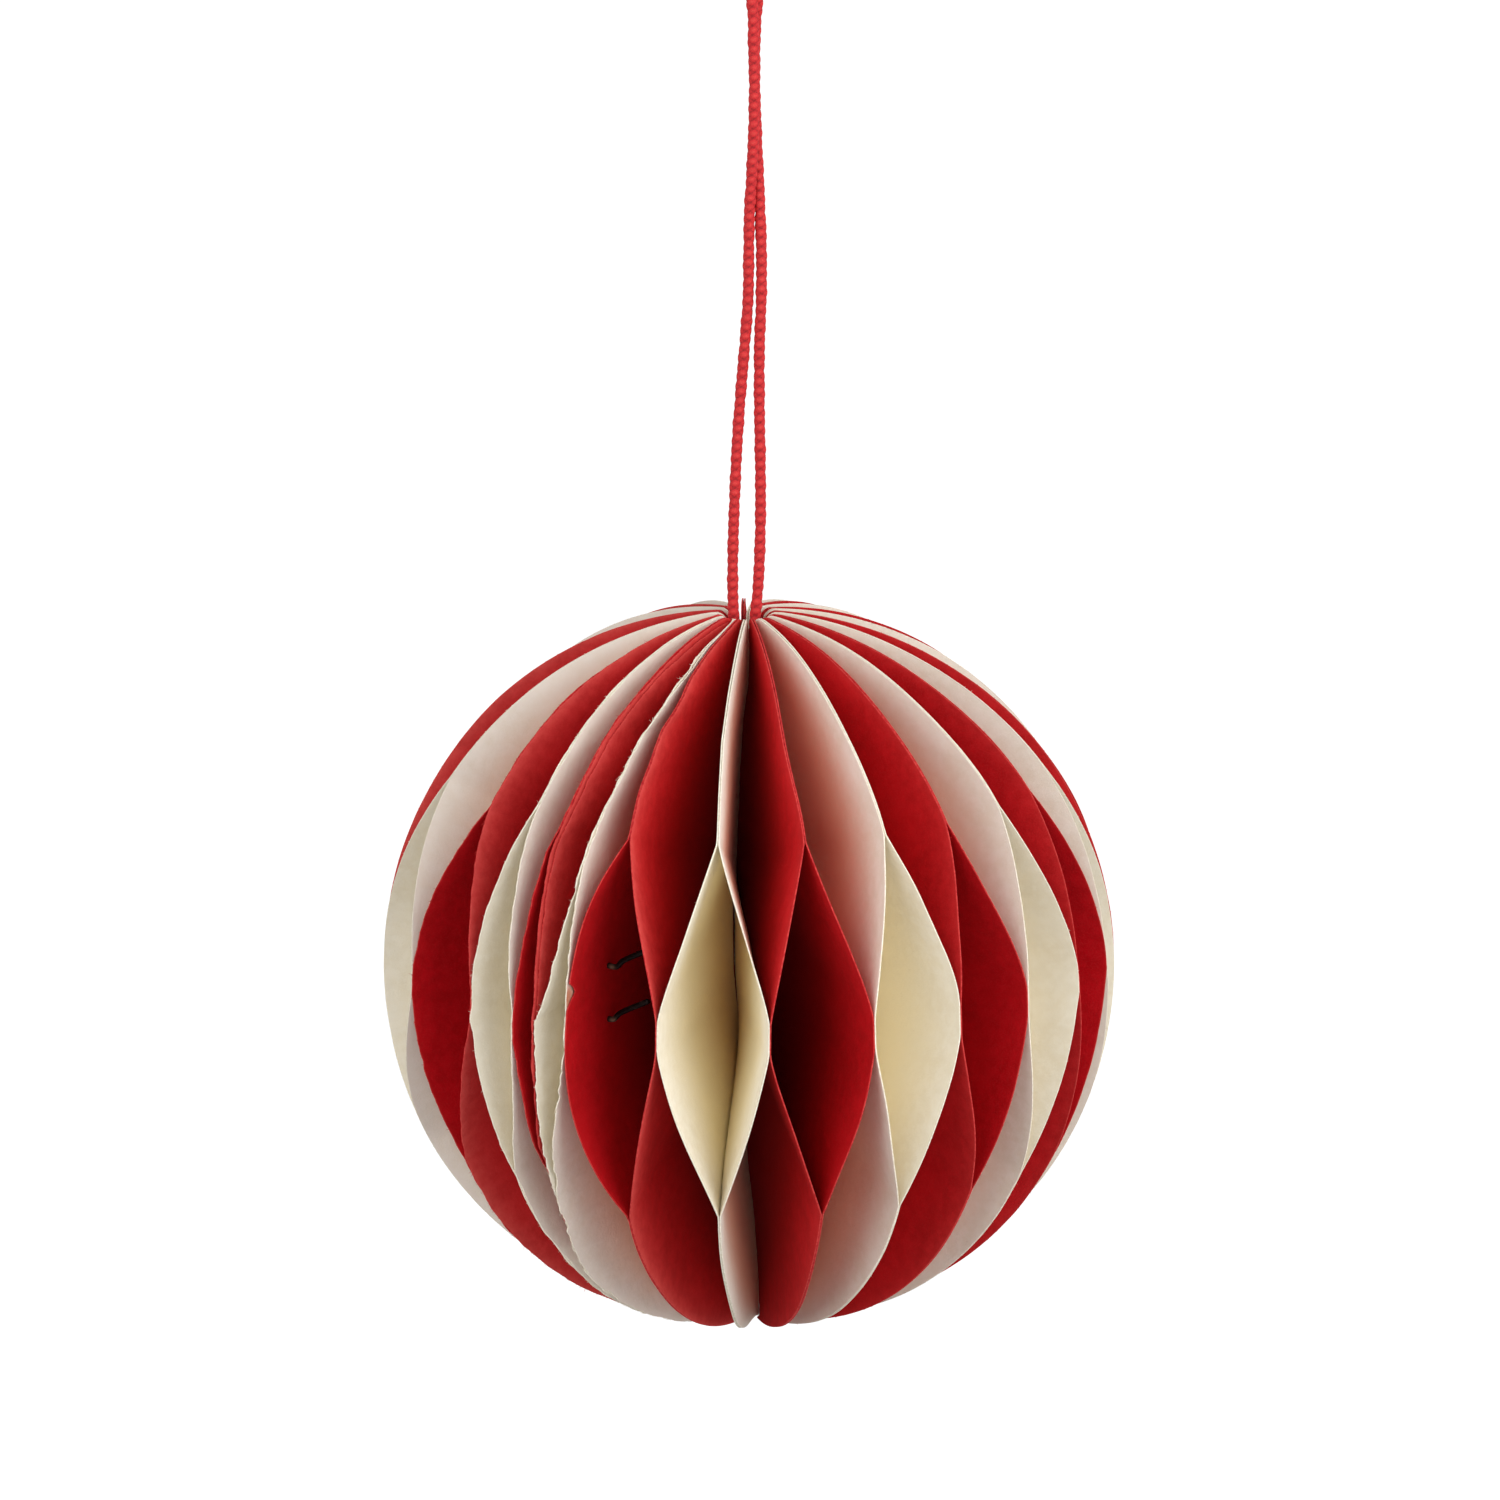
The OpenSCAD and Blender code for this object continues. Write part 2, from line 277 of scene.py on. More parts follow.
# Painted light in these papers: the colours deep in the cells and near the core are painted shade
# and bounced light, the rim colour a painted highlight, the brownish tint behind the notch painted
# shade, and the paler colour both a painted sheen and the real speckle
CREAM = paper("cream_cotton_paper", base=srgb(238, 231, 215), light=srgb(244, 239, 227),
              dark=srgb(231, 222, 202), deep=srgb(250, 242, 217), outer_deep=srgb(254, 209, 170),
              depth=(0.0, 11.0), core=srgb(249, 230, 196), sheen_and_speckle=srgb(240, 234, 221),
              rim=srgb(246, 240, 227), gap_shade=GAP_SHADE_TINT, speckle=0.08, specular=0.12,
              sheen=0.04, sheen_tint=srgb(255, 250, 240))
RED = paper("red_cotton_paper", base=srgb(186, 2, 18), light=srgb(200, 10, 24),
            dark=srgb(170, 0, 12), deep=srgb(146, 0, 8), outer_deep=srgb(146, 0, 8),
            depth=(4.0, 20.0), core=srgb(146, 0, 8), sheen_and_speckle=srgb(208, 78, 74),
            rim=srgb(214, 88, 82), gap_shade=GAP_SHADE_TINT, speckle=0.09, specular=0.06,
            sheen=0.08, sheen_tint=srgb(255, 110, 100))
# The cut borders are painted paler, a highlight where the edge catches light
CREAM_EDGE = cut_edge("cream_cut_edge", base=srgb(242, 235, 220), dark=srgb(226, 215, 193),
                      sheen_tint=srgb(255, 250, 240))
RED_EDGE = cut_edge("red_cut_edge", base=srgb(206, 66, 62), dark=srgb(176, 30, 36),
                    sheen_tint=srgb(255, 150, 140))
CORD = cord_cotton()
STEEL = staple_steel()


# ---------------------------------------------------------------- cord

CORD_D = 1.0
CORD_STEP, CORD_SIDES, CORD_SEED = 0.11, 28, 7
# The length of the braid's repeat and its strands each way
CORD_PITCH, KNOT_PITCH, STRANDS = 0.9, 1.5, 2
# The cord's unevenness, as (height, length) of three waves
CORD_SWAY = [(0.018, 3.1), (0.014, 1.7), (0.01, 5.3)]
KNOT_TOP, KNOT_BOTTOM, KNOT_R, KNOT_GRID = 23.8, 20.2, 1.5, 60
# The length of cord on the knot's side, from its foot to its top
KNOT_ALONG = 3.6
# The route of part.scad
CORD_ROUTE = [
    (-0.6, 0, 23.8), (-0.6, 0, 27), (-0.8, 0, 30), (-1.1, 0, 33), (-1.25, 0, 36),
    (-1.25, 0, 39.5), (-1.15, 0, 43), (-0.95, 0, 47.5), (-0.7, 0, 52), (-0.35, 0, 56.5),
    (0.05, 0, 61), (0.4, 0, 65.5), (0.5, -0.05, 70), (0.6, -0.15, 74), (0.85, -0.4, 78),
    (1.05, -0.55, 82), (1.15, -0.55, 86), (1.1, -0.5, 90), (1, -0.4, 94), (0.4, -0.15, 97.5),
    (-0.4, 0, 100), (-0.35, 0, 102.3), (1.25, 0, 103.7), (2.85, 0, 102.3), (2.9, 0, 100),
    (2.1, 0.15, 97.5), (1.5, 0.4, 94), (1.25, 0.5, 90), (1.2, 0.55, 86), (1.3, 0.55, 82),
    (1.45, 0.45, 78), (1.6, 0.25, 74), (1.7, 0.1, 70), (1.65, 0, 65.5), (1.45, 0, 61),
    (1.4, 0, 55), (1.45, 0, 49), (1.4, 0, 43), (1.15, 0, 37.5), (0.55, 0, 31), (0.55, 0, 23.8)]


def smooth_line(points, step):
    """Points about step apart on a smooth curve through the given ones."""
    p = np.array(points, float)
    p = np.vstack([2 * p[0] - p[1], p, 2 * p[-1] - p[-2]])
    knots = np.concatenate([[0], np.cumsum(np.linalg.norm(np.diff(p, axis=0), axis=1) ** 0.5)])
    out = []
    for i in range(1, len(p) - 2):
        t0, t1, t2, t3 = knots[i - 1:i + 3]
        count = max(2, round(np.linalg.norm(p[i + 1] - p[i]) / step))
        for t in np.linspace(t1, t2, count, endpoint=False):
            a1 = (t1 - t) / (t1 - t0) * p[i - 1] + (t - t0) / (t1 - t0) * p[i]
            a2 = (t2 - t) / (t2 - t1) * p[i] + (t - t1) / (t2 - t1) * p[i + 1]
            a3 = (t3 - t) / (t3 - t2) * p[i + 1] + (t - t2) / (t3 - t2) * p[i + 2]
            b1 = (t2 - t) / (t2 - t0) * a1 + (t - t0) / (t2 - t0) * a2
            b2 = (t3 - t) / (t3 - t1) * a2 + (t - t1) / (t3 - t1) * a3
            out.append((t2 - t) / (t2 - t1) * b1 + (t - t1) / (t2 - t1) * b2)
    out.append(p[-2])
    return np.array(out)


def round_angles(sides):
    return np.arange(sides) * 2 * np.pi / sides


def tube_points(line, radii, beside):
    """Rings round a line, with radii of one row a ring and frames carried along untwisted."""
    tangents = np.gradient(line, axis=0)
    tangents /= np.linalg.norm(tangents, axis=1)[:, None]
    side = np.array(beside, float)
    turn = round_angles(radii.shape[1])
    rings = []
    for p, t, r in zip(line, tangents, radii):
        side = side - t * side.dot(t)
        side /= np.linalg.norm(side)
        other = np.cross(t, side)
        rings.append(p + r[:, None] * (np.cos(turn)[:, None] * side
                                       + np.sin(turn)[:, None] * other))
    return np.array(rings)


def tube_faces(rings, sides):
    """The faces of a closed tube: its wall and a cap at each end."""
    faces = []
    for j in range(rings - 1):
        for i in range(sides):
            a, b = j * sides + i, j * sides + (i + 1) % sides
            faces.append((a, b, b + sides, a + sides))
    faces.append(tuple(range(sides - 1, -1, -1)))
    faces.append(tuple((rings - 1) * sides + i for i in range(sides)))
    return faces


def braid(along, around, pitch):
    """Height, 0 to 1, of a round braid: two crossing sets of strands, over and under in turn."""
    u = around * STRANDS / (2 * np.pi) + along / pitch
    v = around * STRANDS / (2 * np.pi) - along / pitch
    over = (np.floor(u) + np.floor(v)) % 2 == 0
    across = np.where(over, u % 1, v % 1)
    length = np.where(over, v % 1, u % 1)
    crown = np.sqrt(np.clip(1 - (2 * across - 1) ** 2, 0, 1))
    return crown * (0.55 + 0.45 * np.sin(np.pi * length))


def hanging_cord():
    """The whole cord as one tube: the piece, its length in millimetres and its line."""
    line = smooth_line(CORD_ROUTE, CORD_STEP)
    steps = np.linalg.norm(np.diff(line, axis=0), axis=1)
    along = np.concatenate([[0], np.cumsum(steps)])
    height = braid(along[:, None], round_angles(CORD_SIDES)[None, :], CORD_PITCH)
    phases = np.random.default_rng(CORD_SEED).uniform(0, 6.28, len(CORD_SWAY))
    sway = sum(size * np.sin(2 * np.pi * along / length + phase)
               for (size, length), phase in zip(CORD_SWAY, phases))
    radii = CORD_D / 2 * (0.92 + 0.17 * height) + sway[:, None]
    points = tube_points(line, radii, (0, 1, 0))
    piece = add_mesh("cord_braid", points.reshape(-1, 3), tube_faces(len(line), CORD_SIDES),
                     [CORD], smooth_angle=80, attributes={"height": height.reshape(-1)})
    put(piece, "hanging_cord")
    return piece, along[-1], line


def cord_knot():
    """The stopper knot in the core, as a lump of crossing cord."""
    share = np.linspace(0, 1, KNOT_GRID)
    outline = KNOT_R * np.clip(np.sin(np.pi * np.clip(share, 0.02, 0.98)), 0, 1) ** 0.45
    around = round_angles(KNOT_GRID)
    height = braid((share * KNOT_ALONG)[:, None], around[None, :], KNOT_PITCH)
    radii = outline[:, None] * (0.84 + 0.15 * height)
    z = KNOT_BOTTOM + share * (KNOT_TOP - KNOT_BOTTOM)
    points = np.stack([radii * np.cos(around), radii * np.sin(around),
                       np.broadcast_to(z[:, None], radii.shape)], axis=-1)
    piece = add_mesh("knot_lump", points.reshape(-1, 3), tube_faces(KNOT_GRID, KNOT_GRID),
                     [CORD], smooth_angle=80, attributes={"height": height.reshape(-1)})
    put(piece, "cord_knot")
    return piece


cord_piece, cord_length, cord_line = hanging_cord()
knot_piece = cord_knot()


# ---------------------------------------------------------------- leaves

# Sizes of part.scad: the ball, the paper and the glued strips, in millimetres
BALL_R, PAIRS, PAPER_T, SPINE_GAP = 35.0, 24, 0.18, 0.05
CORNER_R, GLUE_H, EASE = 1.2, 2.8, 1.2
CLOSING_PAIR, CLOSING_INSET = 21, 0.4
LEAVES = 2 * PAIRS + 1
CORE_R = LEAVES * (PAPER_T + SPINE_GAP) / (2 * math.pi)

# Heights of the strips, and how far those of a pair slip from them
UPPER_Z, MIDDLE_Z, LOWER_Z = 20.1, 2.8, -15.6
UPPER_SLIPS = {20: 1.19, 21: 0.49, 22: -2.48}
MIDDLE_SLIPS = {18: -0.32, 20: -0.91, 21: -1.19, 22: -0.6}
LOWER_SLIPS = {19: 1.5, 20: 2.2, 21: 1.5, 22: 0.7, 23: -0.8}

# Widths of the cells from pair 0 on, in parts of the circle, and where the first begins, in
# degrees from the front
UPPER = [16, 17, 13.5, 15, 12.5, 14.5, 10, 14, 11, 16.5, 11.5, 12,
         21.5, 24, 18, 13, 22.5, 22.5, 22, 13, 7, 7, 8, 17.5]
MIDDLE = [17, 15, 14.5, 13.5, 14, 12, 12, 11, 14, 14, 12, 16.5,
          22.5, 21, 16, 18, 23, 23.5, 17.5, 9.5, 4.5, 5.5, 15.5, 17.5]
LOWER = [18, 14.5, 16, 13.5, 12.5, 13, 12, 13, 11, 15, 12, 13,
         20.5, 22.5, 18, 14, 22, 23, 23.5, 13, 6.8, 1.2, 15, 16]
UPPER_START, MIDDLE_START, LOWER_START, SPINE_START = -5.7, 3.1, -5.8, -4

# The looks draw each leaf thinner than its solid and the two of a pair closer together, and
# thicken them at the spine, where they close the core's circle
SHEET_T, SHEET_PITCH, SPINE_T = 0.12, 0.135, 0.228
# Near the core the upper and lower strips come this share nearer the middle one, which widens
STRIPS_DRAW, MIDDLE_WIDENS, SHORTEST_SLOPE = 0.54, 3.6, 0.4
# Sideways bow of the core, as (height, shift to +X)
CORE_BOW = [(-35, 0.5), (-30, 0.4), (-25, 0.1), (-19, -0.5), (-7, -0.9), (0, -1.35), (10, -1.35),
            (20, -0.9), (25, -0.55), (28, -0.1), (31, 0.05), (34, 0)]
# The front pair's spine stands out: by how much, at which height, over what height
FRONT_OUT, FRONT_OUT_Z, FRONT_OUT_H = 0.6, 4, 7
# The closing pair's rim is cut in below a height, over what height
LOW_CUT, LOW_CUT_Z, LOW_CUT_H = 1.1, -9, 5
TIP_WIDTH = 0.12
RIPPLE, RIPPLE_LENGTH = 0.11, 26

# How far a pair turns on from its upper strips to the top, in degrees, and over what height
TOP_TURN = {1: -1, 2: -1.2, 3: -1, 4: -2, 5: -2, 6: -1.8, 7: -1.8, 8: -0.7, 9: -2.5,
            18: -0.4, 19: -1.3, 20: -0.6, 21: 0.3, 22: 4.5}
TOP_TURN_H = 12
# How far a pair's edges stray from that line, as (height, degrees)
STRAYS = {
    0: [(21, 0.2), (23, 0), (26, -0.4), (28, -0.8), (31, -0.6), (33.5, 0)],
    2: [(-26, -0.2), (-18, -0.8), (-4, -0.8), (8, -1.1), (18, -1.1), (26, -0.3), (33, 0)],
    3: [(-26, -0.3), (-18, -1), (-4, -1), (8, -0.6), (18, -0.6), (26, -0.2), (33, 0)],
    4: [(-26, -0.4), (-18, -1.3), (-4, -1.3), (8, -0.5), (18, -0.5), (26, -0.15), (33, 0)],
    5: [(-30, 0), (-26, -0.5), (-18, -1.5), (-4, -1.5), (8, 0)],
    19: [(-30, 0), (-18, 0.25), (8, 0.45), (18, 0.45), (26, 0.15), (33, 0)],
    20: [(-32, 3), (-29, 2), (-27, 2.5), (-24, 3.2), (-22, 3.2), (-20, 2.1), (-17, 1.5),
         (-13, 0.5), (-10, 0), (8, 0.3), (20, 0.3), (26, 0.6), (28, 0.1), (33, 0)],
    21: [(-32, -4.2), (-29, -4), (-27, -3.6), (-24.6, -2.5), (-21.8, -1), (-18, 0.4), (-14, 1.2),
         (-4, 2), (8, 0), (18, 0), (20, 1), (22, 1.3), (25, 1.3), (27, 0.6), (29, 1), (31, 2),
         (33, 2.7), (34.5, 3.5)],
    22: [(-32, -4), (-29, -3.7), (-27, -3.2), (-24.6, -2.2), (-21.8, -0.7), (-18, 0.7),
         (-14, 1.4), (-4, 1.4), (8, 0.8), (18, 0.8), (21, 0.5), (24.5, 0), (26.5, -0.6),
         (28, -0.8), (30, 0.7), (32, 2), (33.6, 3), (34.5, 6)],
    23: [(24, 0), (26, 0.5), (28.5, 0.2), (29.7, 1.3), (30.7, 1.8), (32, 1), (33.8, 1.3),
         (34.4, 3)]}
# How far the strips in the middle stray, in degrees
STRIP_STRAYS = {1: -0.45, 2: -0.6, 3: -1.2, 4: 0.4, 18: 0.4, 19: 0.4, 21: 0.15, 22: 0.15}
# How an edge bends between its strips, above and below the middle, where it isn't EASE
EASES = {(2, 1): (1.6, 1.2), (4, 1): (1.2, 0.85), (5, 0): (1.5, 1.2), (5, 1): (1.2, 0.7),
         (19, 0): (1.55, 1.3), (20, 0): (2.6, 0.7), (20, 1): (0.9, 2.8), (21, 0): (0.9, 0.7),
         (22, 0): (0.7, 1.35), (22, 1): (0.7, 1.1), (23, 0): (2.8, 2.6)}

# Torn and rough edges, by pair: how far the edge strays and the length of a bump
TORN = {22: (0.4, 2.2), 21: (0.16, 1.6), 20: (0.14, 1.8), 19: (0.12, 2.0)}
CLEAN_CUT = (0.05, 5.0)
JAGS, JAG_LENGTH = {22: 0.17, 21: 0.06, 20: 0.05, 19: 0.04}, 0.7
# Fibres along an edge, by pair: their number and greatest length
HAIRS, FEW_HAIRS = {22: (260, 0.4), 21: (160, 0.3), 20: (160, 0.3), 19: (160, 0.3)}, (30, 0.2)
# How far the edge's crest stands out from the leaf, and its lumps where it is torn
CREST, LUMPS, LUMP_LENGTH = 0.02, 0.3, 1.3
# The torn notch in the leaf beside the staple, from its lower to its upper end, and the leaf
# behind it, painted brownish there with shade and reddish bounced light from the narrow gap
NOTCHED, BEHIND_NOTCH = (23, 0), (22, 1)
NOTCH_Z = [4.4, 4.86, 5.34, 5.9, 6.4, 6.66, 7]
NOTCH_DEPTH = [0, 0.3, 0.75, 1.35, 0.95, 0.6, 0]
GAP_SHADE_Z, GAP_SHADE_H, GAP_SHADE_DEPTH = 5.6, 1.2, 2.5
# Creases of a leaf, each as height and radius of its outer and inner end
CREASES = {(22, 1): [(-14.9, 31.6, -12.9, 25.9), (-18.9, 29.5, -17.8, 25)]}
CREASE_RISE, CREASE_WIDTH = 0.12, 0.35

# Rows of points up a leaf: where it is torn, behind the ball and elsewhere; and points across
LEVELS = {(22, 0): 760, (22, 1): 520}
TORN_LEVELS, BACK_LEVELS, FRONT_LEVELS, NOTCH_LEVELS = 300, 110, 140, 40
BACK = range(8, 17)
STEPS, CREASED_STEPS = 22, 42
# Where the rows lie in the rounded corner at the top, in shares of its radius
CORNER_ROWS = np.array([0.2, 0.4, 0.58, 0.74, 0.88, 0.97])

# Seeds of what is random, to which a pair's or leaf's number is added
PAIR_SEED, JOINT_SEED, EDGE_SEED, LUMP_SEED, JAG_SEED, HAIR_SEED = 100, 200, 300, 500, 600, 700


def smooth(share):
    share = np.clip(share, 0, 1)
    return share * share * (3 - 2 * share)


def ripple(seed):
    """Gentle waves over a leaf, as a function of height and radius."""
    rng = np.random.default_rng(seed)
    waves = []
    for _ in range(7):
        length = RIPPLE_LENGTH * rng.uniform(0.35, 1.0)
        turn = rng.uniform(0, 2 * np.pi)
        waves.append((2 * np.pi / length * np.cos(turn), 2 * np.pi / length * np.sin(turn),
                      rng.uniform(0, 2 * np.pi),
                      RIPPLE * rng.uniform(0.4, 1.0) * (length / RIPPLE_LENGTH) ** 0.7))
    return lambda z, r: sum(a * np.sin(kz * z + kr * r + ph) for kz, kr, ph, a in waves)


def roughness(seed, length, z):
    """Uneven edge in one dimension, about -1 to 1."""
    rng = np.random.default_rng(seed)
    total = np.zeros_like(z)
    for octave, share in ((1, 0.6), (0.45, 0.35), (0.2, 0.2)):
        knots = np.arange(-40, 40, length * octave)
        total += share * np.interp(z, knots, rng.uniform(-1, 1, len(knots)))
    return total


def direction(widths, start, n):
    """Direction of a pair or strip in degrees; n may be one before the first or after the last."""
    whole = np.concatenate([[0], np.cumsum(widths)]) / sum(widths) * 360
    return start + whole[(n + PAIRS) % PAIRS] - (360 if n < 0 else 0) + (360 if n >= PAIRS else 0)


def polar(r, degrees):
    a = np.radians(degrees)
    return np.stack([r * np.sin(a), -r * np.cos(a)], axis=-1)


def leaf_number(p, k):
    return 3 * p + k


def leaf_r(k):
    """Radius of a leaf; the closing one is cut smaller."""
    return BALL_R - (CLOSING_INSET if k == 2 else 0)


def leaf_corner(k):
    """Height at which a leaf's rounded top corner begins."""
    return math.sqrt(leaf_r(k) ** 2 - (CORE_R + CORNER_R) ** 2) - CORNER_R


def leaf_levels(p, k):
    """Heights of a leaf's rows of points."""
    count = LEVELS.get((p, k), TORN_LEVELS if p in TORN else
                       BACK_LEVELS if p in BACK else FRONT_LEVELS)
    edge_r, corner = leaf_r(k), leaf_corner(k)
    foot = -math.sqrt(edge_r ** 2 - (CORE_R + 2 * PAPER_T) ** 2)
    turn = np.linspace(math.asin(foot / edge_r), math.asin(corner / edge_r), count)
    arc = edge_r * np.sin(turn)
    if (p, k) == NOTCHED:
        notch = np.linspace(NOTCH_Z[0] - 0.3, NOTCH_Z[-1] + 0.3, NOTCH_LEVELS)
        arc = np.unique(np.concatenate([arc, notch]))
    return np.concatenate([arc, corner + CORNER_R * CORNER_ROWS])


def rim_wander(p, k, levels):
    """How far a leaf's edge lies outside its circle, at each height."""
    z = levels[:, None]
    stray, bump = TORN.get(p, CLEAN_CUT)
    rough = roughness(EDGE_SEED + leaf_number(p, k), bump, levels)[:, None]
    wander = np.minimum(stray * (rough - 0.3), 0.05)
    if p in JAGS:
        jags = roughness(JAG_SEED + leaf_number(p, k), JAG_LENGTH, levels)[:, None]
        wander = wander + JAGS[p] * np.clip(jags, -1, 0.55)
    if p == CLOSING_PAIR:
        wander = wander - LOW_CUT * smooth((LOW_CUT_Z - z) / LOW_CUT_H)
    if (p, k) == NOTCHED:
        wander = wander - np.interp(z, NOTCH_Z, NOTCH_DEPTH)
    return wander


def leaf_radii(p, k, levels, q):
    """Radii of a leaf's points and of its rim, for shares q of the way out at each height."""
    z = levels[:, None]
    rim_r = np.sqrt(np.maximum((leaf_r(k) + rim_wander(p, k, levels)) ** 2 - z ** 2, 0.01))
    in_corner = np.maximum(z - leaf_corner(k), 0)
    corner_r = CORE_R + CORNER_R - np.sqrt(np.maximum(CORNER_R ** 2 - in_corner ** 2, 0))
    in_r = np.where(z <= leaf_corner(k), CORE_R, corner_r)
    if p == 0:
        in_r = in_r + FRONT_OUT * np.exp(-((z - FRONT_OUT_Z) / FRONT_OUT_H) ** 2)
    rim_r = np.maximum(rim_r, in_r + TIP_WIDTH)
    return in_r + q[None, :] * (rim_r - in_r), rim_r


def strip_share(p, k, z, inward, top, middle, bottom):
    """How far each point has turned from its pair's own strips, 0, to the middle one, 1.

    The cells close towards the core: their ends draw together and the middle strips widen.
    """
    top_r = top - STRIPS_DRAW * (top - middle) * inward
    bottom_r = bottom + STRIPS_DRAW * (middle - bottom) * inward
    half = GLUE_H / 2 + MIDDLE_WIDENS * inward
    above = (top_r - z) / np.maximum(top_r - middle - half, SHORTEST_SLOPE)
    below = (z - bottom_r) / np.maximum(middle - half - bottom_r, SHORTEST_SLOPE)
    ease = np.where(z > middle, *EASES.get((p, k), (EASE, EASE)))
    return 1 - (1 - np.clip(np.minimum(above, below), 0, 1)) ** ease


def stack_places(p, k):
    """A leaf's place in the stack that it is glued in, in sheets: at its own and middle strips."""
    if p == CLOSING_PAIR:
        return k - 1, (0.5, -1, 0)[k]
    return k - 0.5, (1 if p == CLOSING_PAIR + 1 else 0.5, -0.5)[k]


def leaf_surface(p, k, levels, q):
    """Middle surface of a leaf: points, sideways normals and distance from the edge.

    They lie on a grid of heights and of shares q of the way from the spine to the rim.
    """
    z = levels[:, None]
    neighbour = (p - 1 if k == 0 else p) % PAIRS
    top = UPPER_Z + UPPER_SLIPS.get(p, 0)
    middle = MIDDLE_Z + MIDDLE_SLIPS.get(neighbour, 0)
    bottom = LOWER_Z + LOWER_SLIPS.get(p, 0)
    r, rim_r = leaf_radii(p, k, levels, q)
    inward = np.clip((rim_r - r) / (rim_r - CORE_R), 0, 1)
    w = strip_share(p, k, z, inward, top, middle, bottom)

    # Where the leaf meets the ball's surface, in the stack of leaves glued together there
    pair_dir = np.where(z > middle, direction(UPPER, UPPER_START, p),
                        direction(LOWER, LOWER_START, p))
    pair_dir = pair_dir + TOP_TURN.get(p, 0) * smooth((z - top) / TOP_TURN_H)
    if p in STRAYS:
        pair_dir = pair_dir + np.interp(z, *zip(*STRAYS[p]))
    strip_dir = (direction(MIDDLE, MIDDLE_START, p - 1 if k == 0 else p)
                 + STRIP_STRAYS.get(neighbour, 0))
    angle = pair_dir * (1 - w) + strip_dir * w
    place_pair, place_strip = stack_places(p, k)
    place = place_pair * (1 - w) + place_strip * w
    b = polar(BALL_R, angle) + (place * SHEET_PITCH)[..., None] * np.stack(
        [np.cos(np.radians(angle)), np.sin(np.radians(angle))], axis=-1)

    # A straight line from the leaf's place on the core to there, at the radii
    slot = 2 * p + k + (1 if p > CLOSING_PAIR else 0)
    a = polar(CORE_R, SPINE_START + 360 * slot / LEAVES)
    u = b - a
    u /= np.linalg.norm(u, axis=-1)[..., None]
    foot = u @ a
    s = -foot + np.sqrt(np.maximum(foot ** 2 - a @ a + r ** 2, 0))
    xy = a + u * s[..., None]
    normal = np.stack([-u[..., 1], u[..., 0]], axis=-1)

    # Ripples, creases and the core's bow
    pair_ripple, joint_ripple = ripple(PAIR_SEED + p), ripple(JOINT_SEED + neighbour)
    taper = np.clip((r - CORE_R) / (BALL_R - CORE_R), 0, 1)
    sway = ((1 - w) * pair_ripple(z, r) + w * joint_ripple(z, r)) * taper
    for z0, r0, z1, r1 in CREASES.get((p, k), []):
        span = (z1 - z0) ** 2 + (r1 - r0) ** 2
        share = np.clip(((z - z0) * (z1 - z0) + (r - r0) * (r1 - r0)) / span, 0, 1)
        gap = np.hypot(z - z0 - share * (z1 - z0), r - r0 - share * (r1 - r0))
        sway = sway + CREASE_RISE * (1 - share) * np.exp(-(gap / CREASE_WIDTH) ** 2)
    xy = xy + normal * sway[..., None]
    bow = np.interp(levels, *zip(*CORE_BOW))[:, None]
    xy[..., 0] += bow * np.clip(1 - (r - CORE_R) / np.maximum(rim_r - CORE_R, 0.5), 0, 1)
    points = np.concatenate([xy, np.broadcast_to(z, r.shape)[..., None]], axis=-1)
    return points, normal, rim_r - r


def loose_fibres(seed, edge, out, side, count, longest):
    """Short hairs that stand from an edge: tapering three-sided strands of three rings each."""
    rng = np.random.default_rng(seed)
    at = rng.integers(2, len(edge) - 9, count)
    along = np.gradient(edge, axis=0)[at]
    along /= np.linalg.norm(along, axis=1)[:, None]
    way = out[at] + rng.normal(0, 0.9, (count, 1)) * along
    way = way + rng.normal(0, 0.5, (count, 1)) * side[at]
    way /= np.linalg.norm(way, axis=1)[:, None]
    bend = rng.normal(0, 0.35, (count, 3))
    reach = longest * rng.uniform(0.3, 1, (count, 1)) ** 2
    first = np.cross(way, side[at] + 0.3 * along)
    first /= np.linalg.norm(first, axis=1)[:, None]
    second = np.cross(way, first)
    points = []
    for share, radius in ((-0.2, 0.02), (0.5, 0.016), (1, 0.006)):
        centre = edge[at] + reach * (share * way + share ** 2 * bend)
        for turn in (0, 2 * math.pi / 3, 4 * math.pi / 3):
            points.append(centre + radius * (math.cos(turn) * first + math.sin(turn) * second))
    start = 9 * np.arange(count)[:, None]
    quads = [start + np.array([i, (i + 1) % 3, (i + 1) % 3 + 3, i + 3]) + 3 * ring
             for ring in (0, 1) for i in range(3)]
    tips = start + np.array([6, 7, 8])
    return np.stack(points, axis=1).reshape(-1, 3), np.concatenate(quads), tips


